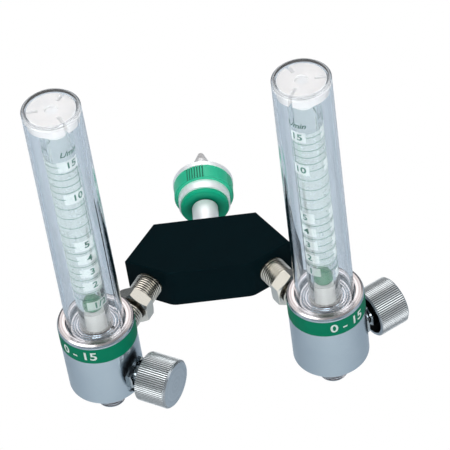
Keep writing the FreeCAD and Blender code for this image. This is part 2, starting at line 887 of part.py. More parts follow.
def make_tube_retainer(meter):
    body = meter.body("tube_retainer")
    plug_r = bore_high_r - retainer_gap
    outer = shroud_top_r - shroud_wall - retainer_gap
    outline = [
        (0, flow_tube_top - retainer_plug),
        (plug_r - retainer_gap, flow_tube_top - retainer_plug),
        (plug_r, flow_tube_top),
        (outer, flow_tube_top),
        (outer, ceiling - retainer_edge),
        (outer - retainer_edge, ceiling),
        (recess_dia / 2, ceiling),
        (recess_dia / 2, ceiling - recess_depth),
        (0, ceiling - recess_depth),
    ]
    turned(body, outline)
    for index in range(retainer_slots):
        angle = 360 / retainer_slots * (index + 0.5) - 90
        turn = FreeCAD.Rotation(UP, angle)
        corner = turn.multVec(FreeCAD.Vector(0, -1, 0))
        along = turn.multVec(FreeCAD.Vector(1, 0, 0))
        half = retainer_slot / 2
        slot(body, f"slot_{index}", outer, retainer_slot, ceiling - flow_tube_top,
             half * corner.x + retainer_slot_start * along.x,
             half * corner.y + retainer_slot_start * along.y,
             flow_tube_top, turn)
    meter.upright(body)


def make_bonnet(meter):
    body = meter.body("valve_bonnet")
    bore = spindle_r + running_fit
    padded(body, hexagon(bonnet_hex), bonnet_hex_length, spotface_reach)
    hex_corner_cut(body, bonnet_hex, bonnet_hex_end, -1)
    rod(body, "Additive", "shank", valve_bore_dia / 2, bonnet_shank, 0, 0, bonnet_shank_start, UP)
    rod(body, "Additive", "neck", bonnet_neck_r, bonnet_neck_length, 0, 0, bonnet_hex_end, UP)
    drill(body, "bore", bore, bonnet_neck_end - bonnet_shank_start, 0, 0, bonnet_shank_start, UP)
    meter.along_valve(body)


def make_packing_nut(meter):
    body = meter.body("packing_nut")
    padded(body, hexagon(packing_hex), packing_length, packing_start)
    hex_corner_cut(body, packing_hex, packing_end, -1)
    drill(body, "thread", bonnet_neck_r, packing_overlap, 0, 0, packing_start, UP)
    drill(body, "hole", spindle_r + running_fit, packing_length, 0, 0, packing_start, UP)
    meter.along_valve(body)


def make_valve_stem(meter):
    body = meter.body("valve_stem")
    needle_base = valve_bore_floor + needle_lift
    groove = seal_reach - seal_cord / 2
    core = spindle_r - seal_cord
    outline = [
        (0, needle_base - needle_length),
        (needle_tip_dia / 2, needle_base - needle_length),
        (needle_hole_dia / 2 - needle_play, needle_base),
        (spindle_r, needle_base + needle_shoulder),
        (spindle_r, groove),
        (core, groove),
        (core, groove + seal_cord),
        (spindle_r, groove + seal_cord),
        (spindle_r, spindle_end),
        (0, spindle_end),
    ]
    turned(body, outline)
    meter.along_valve(body)


def make_stem_seal(meter):
    body = meter.body("stem_seal")
    ring(body, spindle_r - seal_cord / 2, seal_cord, seal_reach)
    meter.along_valve(body)


def make_knob(meter):
    body = meter.body("flow_knob")
    outer = knob_dia / 2
    inner = outer - knob_wall
    hub_r = spindle_r + knob_hub_wall
    outline = [
        (inner, knob_start),
        (outer - knob_back_edge, knob_start),
        (outer, knob_start + knob_back_edge),
        (outer, knob_end - knob_edge),
        (outer - knob_edge, knob_end),
        (0, knob_end),
        (0, spindle_end),
        (spindle_r, spindle_end),
        (spindle_r, knob_hub_start),
        (hub_r, knob_hub_start),
        (hub_r, knob_hub_end),
        (inner, knob_hub_end),
    ]
    turned(body, outline)
    corner_first = FreeCAD.Rotation(UP, -45)
    flute = slot(body, "flute", flute_side, flute_side, knob_length, outer - flute_depth, 0, knob_start,
                 corner_first)
    polar(body, flute, flute_count, 360)
    side = FreeCAD.Vector(1, 0, 0)
    drill(body, "screw_hole", screw_dia / 2, outer, 0, 0, screw_reach, side)
    meter.along_valve(body)


def make_knob_screw(meter):
    body = meter.body("knob_screw")
    out = FreeCAD.Vector(1, 0, 0)
    rod(body, "Additive", "thread", screw_dia / 2, knob_hub_wall, spindle_r, 0, screw_reach, out)
    meter.along_valve(body)


def make_outlet(meter):
    body = meter.body("outlet")
    end = body_bottom - outlet_length
    mouth = outlet_mouth_dia / 2
    bore = passage_dia / 2
    shank = outlet_shank_dia / 2
    mouth_top = end + outlet_mouth_depth
    collar_low = body_bottom - outlet_collar
    collar_r = thread_r + outlet_collar_proud
    outline = [(mouth, end), (thread_core_r - thread_lead, end)]
    outline += ridges(end + thread_lead, collar_low - fit_gap)
    outline += [
        (thread_core_r, collar_low),
        (collar_r, collar_low),
        (collar_r, body_bottom),
        (shank, body_bottom),
        (shank, body_bottom + outlet_shank_length),
        (bore, body_bottom + outlet_shank_length),
        (bore, mouth_top + (mouth - bore)),
        (mouth, mouth_top),
    ]
    turned(body, outline)
    meter.upright(body)


make_block()
make_inlet_stem()
make_hand_nut()
make_hand_nut_cap()
make_hand_nut_grip()
make_thrust_washer()
PIECES = (
    make_block_adapter, make_inlet_nut, make_inlet_nipple, make_inlet_filter, make_inlet_seal,
    make_meter_body, make_band, make_shroud, make_shroud_gasket, make_tube_seat, make_flow_tube,
    make_float_ball, make_tube_retainer, make_bonnet, make_packing_nut,
    make_valve_stem, make_stem_seal, make_knob, make_knob_screw, make_outlet,
)
for meter in (Meter("left", -1), Meter("right", 1)):
    for make_piece in PIECES:
        make_piece(meter)

doc.recompute()
for item in doc.Objects:
    if "Invalid" in item.State or "Error" in item.State:
        raise RuntimeError(f"{item.Name} failed: {item.State}")
for node in NODES:
    if node.Shape.isNull() or not node.Shape.isValid():
        raise RuntimeError(f"{node.Label} has no valid shape")

os.makedirs(OUT_DIR, exist_ok=True)
for node in NODES:
    node.Shape.exportStep(os.path.join(OUT_DIR, node.Label + ".step"))
    print(node.Label, len(node.Shape.Solids), round(node.Shape.Volume, 1))
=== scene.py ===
import math

import bmesh
import bpy
import numpy as np
from mathutils import Matrix, Vector


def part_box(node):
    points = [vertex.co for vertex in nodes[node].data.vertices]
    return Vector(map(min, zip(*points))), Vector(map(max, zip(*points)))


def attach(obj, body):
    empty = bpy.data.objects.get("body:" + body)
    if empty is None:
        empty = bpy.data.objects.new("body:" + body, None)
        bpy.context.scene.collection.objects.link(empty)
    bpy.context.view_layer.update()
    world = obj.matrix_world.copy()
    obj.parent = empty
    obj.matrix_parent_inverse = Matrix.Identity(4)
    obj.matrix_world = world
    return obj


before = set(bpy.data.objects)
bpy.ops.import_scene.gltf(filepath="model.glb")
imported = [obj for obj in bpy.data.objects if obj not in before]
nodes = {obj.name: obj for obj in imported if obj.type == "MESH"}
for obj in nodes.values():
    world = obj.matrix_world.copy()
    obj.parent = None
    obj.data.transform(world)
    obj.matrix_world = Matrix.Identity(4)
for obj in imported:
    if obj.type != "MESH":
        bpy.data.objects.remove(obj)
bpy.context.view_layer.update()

MM = 0.001
scene = bpy.context.scene


# The two meters, as they stand in the frame

VALVE_Z = -7.0
SPLAY = math.radians(30)
UP = Vector((0, 0, 1))
BEHIND = Vector((0, 1, 0))


def meter_at(side, sign):
    """The upright axis of a meter, and the level directions to its front, inlet and valve."""
    low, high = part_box(side + "_flow_tube")
    middle = (low + high) / 2
    sine = math.sin(SPLAY) * sign
    cosine = math.cos(SPLAY)
    return {
        "axis": Vector((middle.x, middle.y, 0)),
        "front": Vector((sine, -cosine, 0)),
        "inlet": Vector((-sine, cosine, 0)),
        "valve": Vector((cosine, sine, 0)),
    }


METERS = {"left": meter_at("left", -1), "right": meter_at("right", 1)}


# Nodes of the materials

def new_material(name):
    mat = bpy.data.materials.new(name)
    mat.use_nodes = True
    tree = mat.node_tree
    tree.nodes.clear()
    out = tree.nodes.new("ShaderNodeOutputMaterial")
    return mat, tree, out


def add(tree, kind, **settings):
    node = tree.nodes.new(kind)
    for key, value in settings.items():
        setattr(node, key, value)
    return node


def feed(tree, source, socket):
    """Links an output of another node to a socket, or gives the socket a plain value."""
    if isinstance(source, bpy.types.NodeSocket):
        tree.links.new(source, socket)
    elif socket.type == "RGBA":
        socket.default_value = (*source, 1)
    else:
        socket.default_value = source


def put(tree, node, **values):
    """Feeds inputs by their names, written with _ for a space."""
    for key, value in values.items():
        feed(tree, value, node.inputs[key.replace("_", " ")])
    return node


def coordinates(tree):
    return add(tree, "ShaderNodeTexCoord").outputs["Object"]


def component(tree, vector, letter):
    parts = add(tree, "ShaderNodeSeparateXYZ")
    tree.links.new(vector, parts.inputs[0])
    return parts.outputs[letter]


def calculated(tree, operation, *values):
    node = add(tree, "ShaderNodeMath", operation=operation)
    for value, socket in zip(values, node.inputs):
        feed(tree, value, socket)
    return node.outputs[0]


def vector_calculated(tree, operation, *values):
    node = add(tree, "ShaderNodeVectorMath", operation=operation)
    for value, socket in zip(values, node.inputs):
        feed(tree, value, socket)
    return node.outputs["Value" if operation in ("DOT_PRODUCT", "LENGTH") else "Vector"]


def noise(tree, vector, scale, detail, rough):
    node = add(tree, "ShaderNodeTexNoise")
    put(tree, node, Vector=vector, Scale=scale, Detail=detail, Roughness=rough)
    return node.outputs["Fac"]


def ramp(tree, value, low, high, start=0.0, end=1.0):
    """Goes from low to high while the value goes from start to end, and stays level beyond."""
    node = add(tree, "ShaderNodeMapRange")
    put(tree, node, Value=value, From_Min=start, From_Max=end, To_Min=low, To_Max=high)
    return node.outputs["Result"]


def mixed_colour(tree, share, first, second):
    """Sockets for colours share their names with others, so they are picked by number."""
    node = add(tree, "ShaderNodeMix", data_type="RGBA")
    feed(tree, share, node.inputs[0])
    feed(tree, first, node.inputs[6])
    feed(tree, second, node.inputs[7])
    return node.outputs[2]


def mixed_shaders(tree, share, first, second):
    node = add(tree, "ShaderNodeMixShader")
    feed(tree, share, node.inputs[0])
    tree.links.new(first.outputs[0], node.inputs[1])
    tree.links.new(second.outputs[0], node.inputs[2])
    return node


def bump(tree, height, distance, strength):
    node = add(tree, "ShaderNodeBump")
    put(tree, node, Height=height, Distance=distance, Strength=strength)
    return node.outputs["Normal"]


def round_coordinates(tree, centre, axis):
    """X is the distance from the axis and Y the distance along it, for lines round a turned part."""
    place = vector_calculated(tree, "SUBTRACT", coordinates(tree), centre)
    along = vector_calculated(tree, "DOT_PRODUCT", place, axis)
    across = vector_calculated(tree, "CROSS_PRODUCT", place, axis)
    both = add(tree, "ShaderNodeCombineXYZ")
    put(tree, both, X=vector_calculated(tree, "LENGTH", across), Y=along)
    return both.outputs[0]


def square_to(tree, axis):
    """One on faces that lie square to the axis, nought on faces along it."""
    normal = add(tree, "ShaderNodeTexCoord").outputs["Normal"]
    facing = calculated(tree, "ABSOLUTE", vector_calculated(tree, "DOT_PRODUCT", normal, axis))
    return ramp(tree, facing, 0.0, 1.0, start=0.6, end=0.8)


def painted_valley_shade(tree, colour, centre, axis, bottom, top, shade, ends=True):
    """Paints shade into the bottoms of lines cut in a round piece, between two radii in millimetres.

    The end faces of the piece keep their colour, unless the lines are too steep to tell from them.
    """
    radius = component(tree, round_coordinates(tree, centre, axis), "X")
    # Share of painted shade: full inside the bottom radius, none outside the top one.
    shade_mask = ramp(tree, radius, 1.0, 0.0, start=bottom * MM, end=top * MM)
    if ends:
        along = ramp(tree, square_to(tree, axis), 1.0, 0.0)
        shade_mask = calculated(tree, "MULTIPLY", shade_mask, along)
    return mixed_colour(tree, shade_mask, colour, shade)


# Kinds of surface

RING_LINES = {"scale": 2400.0, "detail": 2.0, "rough": 0.6}
RING_CUTS = {"scale": 1100.0, "detail": 2.0, "rough": 0.6}
CLOUDS = {"scale": 90.0, "detail": 4.0, "rough": 0.6}
RING_DEPTH = 0.00002
BARE = ((0.55, 0.53, 0.52), (0.78, 0.76, 0.75))


def turned_metal(
    name, dark, light, rough, centre, axis, line=0.3, metal=1.0, face=None, shade_in_valleys=None, tip=None
):
    """Plated or bare metal with fine lines left by turning and faint clouds in its polish.

    Faces square to the axis can take two other colours, which alternate in rings; on the chrome rim
    they are painted sheen over real turning marks. Painted shade can darken the bottoms of cut lines.
    The tip is a stretch along the axis, in millimetres, over which the metal takes the colours of a bare
    one.
    """
    mat, tree, out = new_material(name)
    around = round_coordinates(tree, centre, axis)
    rings = noise(tree, around, **RING_LINES)
    clouds = noise(tree, coordinates(tree), **CLOUDS)
    colour = mixed_colour(tree, clouds, dark, light)
    # Faces square to the axis: on the chrome rim, painted sheen in the rings of turning marks.
    if face:
        cuts = ramp(tree, noise(tree, around, **RING_CUTS), 0.0, 1.0, start=0.38, end=0.58)
        colour = mixed_colour(tree, square_to(tree, axis), colour, mixed_colour(tree, cuts, *face))
    # Painted shade in the bottoms of cut lines.
    if shade_in_valleys:
        colour = painted_valley_shade(tree, colour, centre, axis, **shade_in_valleys)
    if tip:
        start, end = tip
        along = ramp(tree, component(tree, around, "Y"), 0.0, 1.0, start * MM, end * MM)
        colour = mixed_colour(tree, along, colour, mixed_colour(tree, rings, *BARE))
    shader = add(tree, "ShaderNodeBsdfPrincipled")
    put(
        tree, shader, Base_Color=colour, Metallic=metal, Roughness=ramp(tree, clouds, *rough),
        Normal=bump(tree, rings, RING_DEPTH, line),
    )
    tree.links.new(shader.outputs[0], out.inputs["Surface"])
    return mat


def plastic(name, dark, light, rough, grain=300.0, depth=0.00002, shine=0.3, lines=None):
    """Moulded or painted surface with a faint grain and slow changes in shade and gloss."""
    mat, tree, out = new_material(name)
    place = coordinates(tree)
    slow = noise(tree, place, scale=grain * 0.2, detail=3.0, rough=0.55)
    fine = noise(tree, place, scale=grain * 8.0, detail=4.0, rough=0.65)
    colour = mixed_colour(tree, slow, dark, light)
    # Painted shade in the bottoms of cut lines and in recesses.
    if lines:
        colour = painted_valley_shade(tree, colour, **lines)
    shader = add(tree, "ShaderNodeBsdfPrincipled")
    put(
        tree, shader, Base_Color=colour, Specular_IOR_Level=shine, Roughness=ramp(tree, slow, *rough),
        Normal=bump(tree, fine, depth, strength=0.6),
    )
    tree.links.new(shader.outputs[0], out.inputs["Surface"])
    return mat


ACRYLIC_INDEX = 1.49
CLEAR_ROUGH = (0.0, 0.006)
MOST_BOUNCES = 5
MOST_WALLS = 5
SEEP = (0.78, 0.82, 0.86)
RIM_COVER = 0.7
RIM_BLUR = 0.0002


def clear(name, tint, edge, shade=(1, 1, 1), rim=None):
    """Clear moulded plastic, with a faint draw of the mould and a tint that varies a little.

    A ray that is caught in a wall for long leaves it straight, and one that has crossed many walls
    ends in a pale haze, as light seeps from a real wall.
    An upright cover can have a satin rim at its top, outside a radius round its axis.
    """
    mat, tree, out = new_material(name)
    waves = noise(tree, coordinates(tree), scale=60.0, detail=2.0, rough=0.5)
    glass = add(tree, "ShaderNodeBsdfGlass")
    put(
        tree, glass, IOR=ACRYLIC_INDEX, Color=mixed_colour(tree, waves, tint, edge),
        Roughness=ramp(tree, waves, *CLEAR_ROUGH), Normal=bump(tree, waves, 0.00003, strength=0.4),
    )
    passing = put(tree, add(tree, "ShaderNodeBsdfTransparent"), Color=shade)
    haze = put(tree, add(tree, "ShaderNodeBsdfDiffuse"), Color=SEEP)
    path = add(tree, "ShaderNodeLightPath")
    caught = calculated(tree, "GREATER_THAN", path.outputs["Ray Depth"], MOST_BOUNCES)
    lost = calculated(tree, "GREATER_THAN", path.outputs["Transparent Depth"], MOST_WALLS)
    surface = mixed_shaders(tree, caught, glass, passing)
    surface = mixed_shaders(tree, lost, surface, haze)
    surface = mixed_shaders(tree, path.outputs["Is Shadow Ray"], surface, passing)
    if rim:
        centre, radius, colour = rim
        reach = component(tree, round_coordinates(tree, centre, UP), "X")
        outside = ramp(tree, reach, 0.0, RIM_COVER, start=radius - RIM_BLUR, end=radius + RIM_BLUR)
        share = calculated(tree, "MULTIPLY", outside, square_to(tree, UP))
        satin = put(tree, add(tree, "ShaderNodeBsdfPrincipled"), Base_Color=colour, Roughness=0.3)
        surface = mixed_shaders(tree, share, surface, satin)
    tree.links.new(surface.outputs[0], out.inputs["Surface"])
    return mat


def frosted(name, dark, light, through=0.5):
    """Milky moulded plastic that passes some of the light from behind."""
    mat, tree, out = new_material(name)
    slow = noise(tree, coordinates(tree), scale=120.0, detail=3.0, rough=0.6)
    shade = mixed_colour(tree, slow, dark, light)
    face = add(tree, "ShaderNodeBsdfPrincipled")
    put(tree, face, Base_Color=shade, Specular_IOR_Level=0.4, Roughness=ramp(tree, slow, 0.25, 0.4))
    back = put(tree, add(tree, "ShaderNodeBsdfTranslucent"), Color=shade)
    both = mixed_shaders(tree, through, face, back)
    tree.links.new(both.outputs[0], out.inputs["Surface"])
    return mat


INK_THROUGH = 0.45


def print_ink(name, dark, light, cover):
    """Thin ink on the tube: it covers only in part, and unevenly."""
    mat, tree, out = new_material(name)
    patches = noise(tree, coordinates(tree), scale=700.0, detail=3.0, rough=0.6)
    shade = mixed_colour(tree, patches, dark, light)
    face = put(tree, add(tree, "ShaderNodeBsdfDiffuse"), Color=shade, Roughness=0.5)
    back = put(tree, add(tree, "ShaderNodeBsdfTranslucent"), Color=shade)
    ink = mixed_shaders(tree, INK_THROUGH, face, back)
    gap = add(tree, "ShaderNodeBsdfTransparent")
    whole = mixed_shaders(tree, ramp(tree, patches, *cover), gap, ink)
    tree.links.new(whole.outputs[0], out.inputs["Surface"])
    return mat


def dress(name, mat):
    mesh = nodes[name].data
    for i in range(len(mesh.materials)):
        mesh.materials[i] = mat
    if not mesh.materials:
        mesh.materials.append(mat)


# Colours, most of them a darker and a lighter one. Painted shade at the bottoms of lines cut in a
# piece goes by their radii.

# Chrome's own grey, tinted blue-grey and darkened as painted reflection of the surroundings.
CHROME_AND_REFLECTION = ((0.365, 0.445, 0.505), (0.45, 0.52, 0.57))
# Flat tops of the chrome: real turning rings, with pinkish light and dark rings as painted reflection.
RIM_RINGS_AND_SHEEN = ((0.18, 0.165, 0.165), (0.56, 0.52, 0.52))
# Valve chrome, darker than the body's as painted dark reflection round the bonnet.
VALVE_AND_DARK_REFLECTION = ((0.34, 0.38, 0.40), (0.42, 0.46, 0.48))
NICKEL = ((0.66, 0.64, 0.57), (0.78, 0.75, 0.68))
STEM = ((0.82, 0.85, 0.87), (0.90, 0.92, 0.93))
KNOB = ((0.50, 0.53, 0.54), (0.60, 0.63, 0.64))
KNOB_FACE = ((0.35, 0.41, 0.46), (0.42, 0.48, 0.53))
BRASS = ((0.55, 0.42, 0.20), (0.66, 0.52, 0.28))
COVER = ((0.95, 0.97, 0.985), (0.965, 0.98, 0.99))
COVER_RIM = (0.40, 0.42, 0.44)
COVER_RIM_DROP = 2.2
# Painted shade in the flutes, threads, grip lines and the recess round the neck of the cap.
FLUTE_SHADE = {"bottom": 12.2, "top": 12.5, "shade": (0.06, 0.065, 0.07)}
THREAD_SHADE = {"bottom": 6.5, "top": 7.0, "shade": (0.04, 0.037, 0.03), "ends": False}
NUT_LINES = {"centre": (0, 0, 0), "axis": BEHIND}
GRIP_LINE_SHADE = {**NUT_LINES, "bottom": 15.12, "top": 15.33, "shade": (0.0, 0.11, 0.06)}
CAP_RECESS_SHADE = {**NUT_LINES, "bottom": 6.0, "top": 10.5, "shade": (0.0, 0.13, 0.075), "ends": False}

block_mat = plastic(
    "anodised_block", dark=(0.0004, 0.0045, 0.0065), light=(0.001, 0.007, 0.009), rough=(0.5, 0.6),
    grain=500.0, depth=0.000012, shine=0.02,
)
grip_mat = plastic(
    "green_grip", dark=(0.012, 0.40, 0.22), light=(0.03, 0.46, 0.27), rough=(0.3, 0.4),
    depth=0.00001, lines=GRIP_LINE_SHADE,
)
green_mat = plastic(
    "green_cap", dark=(0.002, 0.30, 0.16), light=(0.004, 0.36, 0.20), rough=(0.35, 0.45),
    depth=0.00001, shine=0.12, lines=CAP_RECESS_SHADE,
)
band_mat = plastic(
    "green_band", dark=(0.0003, 0.125, 0.064), light=(0.001, 0.15, 0.08), rough=(0.45, 0.55),
    grain=250.0, depth=0.000008, shine=0.04,
)
ball_mat = plastic(
    "green_ball", dark=(0.001, 0.085, 0.028), light=(0.004, 0.11, 0.04), rough=(0.35, 0.45),
    depth=0.000004, shine=0.2,
)
white_mat = frosted("milky_retainer", dark=(0.81, 0.79, 0.78), light=(0.88, 0.86, 0.85))
seat_mat = frosted("milky_seat", dark=(0.60, 0.57, 0.55), light=(0.66, 0.63, 0.61), through=0.3)
seal_mat = plastic(
    "seal_rubber", dark=(0.02, 0.02, 0.02), light=(0.035, 0.035, 0.035), rough=(0.6, 0.75),
    grain=500.0, depth=0.00003, shine=0.2,
)
filter_mat = plastic(
    "sintered_bronze", dark=(0.30, 0.20, 0.10), light=(0.42, 0.30, 0.17), rough=(0.6, 0.8),
    grain=900.0, depth=0.0001,
)
screw_mat = plastic(
    "black_screw", dark=(0.02, 0.02, 0.022), light=(0.04, 0.04, 0.043), rough=(0.3, 0.4), grain=900.0,
)
tube_mat = clear(
    "clear_tube", tint=(0.95, 0.972, 0.968), edge=(0.965, 0.98, 0.976), shade=(0.99, 0.992, 0.992),
)
stem_mat = turned_metal(
    "satin_stem", *STEM, rough=(0.36, 0.46), centre=(0, 0, 0), axis=BEHIND, metal=0.42, tip=(1.0, 6.0),
)

dress("inlet_stem", stem_mat)
dress("hand_nut", stem_mat)
dress("manifold_block", block_mat)
dress("hand_nut_cap", green_mat)
dress("hand_nut_grip", grip_mat)
dress("thrust_washer", white_mat)

for side, meter in METERS.items():
    axis = meter["axis"]
    shroud_low, shroud_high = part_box(side + "_shroud")
    rim_radius = (shroud_high.x - shroud_low.x) / 2 - COVER_RIM_DROP * MM
    cover = clear(side + "_clear_shroud", *COVER, rim=(axis, rim_radius, COVER_RIM))
    upright = turned_metal(
        side + "_chrome", *CHROME_AND_REFLECTION, rough=(0.16, 0.26), centre=axis, axis=UP, face=RIM_RINGS_AND_SHEEN,
    )
    fitting = turned_metal(
        side + "_nickel", *NICKEL, rough=(0.16, 0.26), centre=axis, axis=meter["inlet"],
        shade_in_valleys=THREAD_SHADE,
    )
    on_valve = {"centre": axis + UP * VALVE_Z * MM, "axis": meter["valve"]}
    valve = turned_metal(side + "_valve_chrome", *VALVE_AND_DARK_REFLECTION, rough=(0.08, 0.14), **on_valve)
    knob = turned_metal(
        side + "_knob_metal", *KNOB, rough=(0.26, 0.36), **on_valve, line=0.5, metal=0.8,
        face=KNOB_FACE, shade_in_valleys=FLUTE_SHADE,
    )
    spindle = turned_metal(side + "_brass", *BRASS, rough=(0.25, 0.35), **on_valve)
    finishes = {
        "block_adapter": fitting, "inlet_nut": fitting, "inlet_nipple": fitting,
        "inlet_filter": filter_mat, "inlet_seal": seal_mat, "meter_body": upright, "label_band": band_mat,
        "shroud": cover, "shroud_gasket": seal_mat, "tube_seat": seat_mat, "flow_tube": tube_mat,
        "float_ball": ball_mat, "tube_retainer": white_mat,
        "valve_bonnet": valve, "packing_nut": valve, "valve_stem": spindle, "stem_seal": seal_mat,
        "flow_knob": knob, "knob_screw": screw_mat, "outlet": upright,
    }
    for piece, mat in finishes.items():
        dress(side + "_" + piece, mat)


# Print wrapped on the flow tubes and on the bands

TUBE_R = 7.75
BAND_R = 19.15
REACH = math.radians(120)
STEP = math.radians(4)
STROKE = 0.021


def wrap(mesh_data, meter, radius):
    """Bends a flat drawing round a meter: x is arc length from the front, y is height, in millimetres."""
    front = meter["front"]
    right = UP.cross(front)
    for v in mesh_data.vertices:
        angle = v.co.x / radius
        reach = (radius + v.co.z) * MM
        outward = front * math.cos(angle) + right * math.sin(angle)
        v.co = meter["axis"] + outward * reach + UP * v.co.y * MM


def finish_print(name, bm, meter, radius, mat):
    """Cuts a flat drawing into narrow upright strips, wraps it and fixes it to the meter."""
    x = -radius * REACH
    while x < radius * REACH:
        geometry = bm.verts[:] + bm.edges[:] + bm.faces[:]
        bmesh.ops.bisect_plane(bm, geom=geometry, plane_co=(x, 0, 0), plane_no=(1, 0, 0))
        x += radius * STEP
    bmesh.ops.triangulate(bm, faces=bm.faces[:])
    data = bpy.data.meshes.new(name)
    bm.to_mesh(data)
    bm.free()
    wrap(data, meter, radius)
    data.materials.append(mat)
    obj = bpy.data.objects.new(name, data)
    scene.collection.objects.link(obj)
    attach(obj, "root")


def add_box(bm, x0, x1, y0, y1, lift):
    corners = [bm.verts.new((x, y, lift)) for x, y in ((x0, y0), (x1, y0), (x1, y1), (x0, y1))]
    bm.faces.new(corners)


def add_text(bm, words, size, x, y, lift, widen=1.0, lean=0.0):
    curve = bpy.data.curves.new("drawing", "FONT")
    curve.body = words
    curve.size = size
    curve.align_x = "CENTER"
    curve.align_y = "CENTER"
    curve.resolution_u = 3
    curve.offset = size * STROKE
    curve.shear = lean
    holder = bpy.data.objects.new("drawing", curve)
    scene.collection.objects.link(holder)
    bpy.context.view_layer.update()
    flat = bpy.data.meshes.new_from_object(holder)
    flat.transform(Matrix.Translation((x, y, lift)) @ Matrix.Diagonal((widen, 1, 1, 1)))
    bm.from_mesh(flat)
    bpy.data.objects.remove(holder)
    bpy.data.curves.remove(curve)
    bpy.data.meshes.remove(flat)


def arc(degrees):
    return math.radians(degrees) * TUBE_R


# The flow scale in litres a minute, with the heights of four marks in millimetres above the inlet axis.
# The marks between them are spaced evenly. Places round the tube are degrees from its front.

SCALE_FLOW = (0.5, 5, 10, 15)
SCALE_HEIGHT = (43.2, 84.3, 115.8, 136.6)
LOWEST = 0.5
MARKS = [LOWEST * i for i in range(1, 10)] + list(range(5, 16))
NUMBERED = (15, 10, 5, 4, 3, 2, 1, LOWEST)
LEFT_ONLY = 1

FIELD = (-92, 96)
FIELD_Z = (51.5, 139.0)
FIELD_LIFT = 0.04
LEFT_BOX = (-96, -38)
RIGHT_BOX = (18, 96)
LOW_BOX = 5.6
HIGH_BOX = 6.4
BOX_LIFT = 0.08

TICK = 0.34
TICK_LIFT = 0.12
AFTER_LEFT_BOX = 2
INTO_RIGHT_BOX = 6
SIDE_LINES = (-86, 88)
SIDE_GAP = 3.6

LEFT_TEXT = -69
RIGHT_TEXT = 67
ONE_DIGIT_SHIFT = 4
TEXT_SIZE = 5.2
TEXT_WIDEN = 1.12
TEXT_LIFT = 0.14
UNIT_SIZE = 4.2
UNIT_Z = 143.8
UNIT_LIFT = 0.12
UNIT_LEAN = 0.3

BAND_TEXT_SIZE = 7.4
BAND_TEXT_Z = 18.8
BAND_TEXT_WIDEN = 1.1
BAND_TEXT_LIFT = 0.05

ink_mat = print_ink("scale_green", dark=(0.0, 0.08, 0.05), light=(0.0, 0.11, 0.07), cover=(0.97, 1.0))
field_mat = print_ink(
    "scale_field", dark=(0.72, 0.80, 0.75), light=(0.78, 0.85, 0.80), cover=(0.26, 0.36),
)
box_mat = print_ink("scale_box", dark=(0.90, 0.93, 0.91), light=(0.94, 0.97, 0.95), cover=(0.31, 0.43))
numeral_mat = print_ink(
    "band_numerals", dark=(0.80, 0.84, 0.82), light=(0.88, 0.90, 0.89), cover=(0.96, 1.0),
)


def mark_height(flow):
    return float(np.interp(flow, SCALE_FLOW, SCALE_HEIGHT))


def numbered_box(boxes, ink, flow, box, text_place):
    """A pale box with the number of a mark."""
    z = mark_height(flow)
    half = (HIGH_BOX if flow >= 5 else LOW_BOX) / 2
    shift = ONE_DIGIT_SHIFT if LOWEST < flow < 10 else 0
    words = "1/2" if flow == LOWEST else f"{flow:g}"
    add_box(boxes, arc(box[0]), arc(box[1]), z - half, z + half, BOX_LIFT)
    add_text(ink, words, TEXT_SIZE, arc(text_place - shift), z, TEXT_LIFT, widen=TEXT_WIDEN)


def draw_scale(side, meter):
    """Numbers stand on both sides of the tube, but the lowest is on the right alone and has no line."""
    field = bmesh.new()
    boxes = bmesh.new()
    ink = bmesh.new()
    add_box(field, arc(FIELD[0]), arc(FIELD[1]), *FIELD_Z, FIELD_LIFT)
    for flow in MARKS:
        z = mark_height(flow)
        left_end, right_end = FIELD
        if flow in NUMBERED and flow != LOWEST:
            left_end = LEFT_BOX[1] + AFTER_LEFT_BOX
            numbered_box(boxes, ink, flow, LEFT_BOX, LEFT_TEXT)
        if flow in NUMBERED and flow != LEFT_ONLY:
            right_end = RIGHT_BOX[0] + INTO_RIGHT_BOX
            numbered_box(boxes, ink, flow, RIGHT_BOX, RIGHT_TEXT)
        if flow != LOWEST:
            add_box(ink, arc(left_end), arc(right_end), z - TICK / 2, z + TICK / 2, TICK_LIFT)
    for lower, upper in ((10, 15), (5, 10)):
        bottom = mark_height(lower) + SIDE_GAP
        top = mark_height(upper) - SIDE_GAP
        for place in SIDE_LINES:
            x = arc(place)
            add_box(ink, x - TICK / 2, x + TICK / 2, bottom, top, TICK_LIFT)
    for place in (LEFT_TEXT, RIGHT_TEXT):
        add_text(ink, "L/min", UNIT_SIZE, arc(place), UNIT_Z, UNIT_LIFT, lean=UNIT_LEAN)
    finish_print(side + "_scale_field", field, meter, TUBE_R, field_mat)
    finish_print(side + "_scale_boxes", boxes, meter, TUBE_R, box_mat)
    finish_print(side + "_scale_marks", ink, meter, TUBE_R, ink_mat)


def draw_band(side, meter):
    numerals = bmesh.new()
    add_text(numerals, "0 - 15", BAND_TEXT_SIZE, 0, BAND_TEXT_Z, BAND_TEXT_LIFT, widen=BAND_TEXT_WIDEN)
    finish_print(side + "_band_numerals", numerals, meter, BAND_R, numeral_mat)


for side, meter in METERS.items():
    draw_scale(side, meter)
    draw_band(side, meter)


# Floor and light

FLOOR_Z = -0.12
FLOOR_HALF = 1.6
# Painted light on the floor: lighter in front of the part and a little behind it, darker under it.
FLOOR_COLOURS = ((0.42, 0.475, 0.53), (0.88, 0.905, 0.925))
FLOOR_LIGHT = -0.32
FLOOR_DARK = -0.05
FLOOR_BEHIND = (0.0, 0.08)
BEHIND_SHADE = 0.2
SKY_LIGHT = 0.42
SKY = (
    (0.0, (0.26, 0.28, 0.31)),
    (0.22, (0.32, 0.35, 0.39)),
    (0.45, (0.75, 0.79, 0.84)),
    (1.0, (0.95, 0.96, 0.98)),
)
MIDDLE = Vector((0.0, -0.09, 0.05))


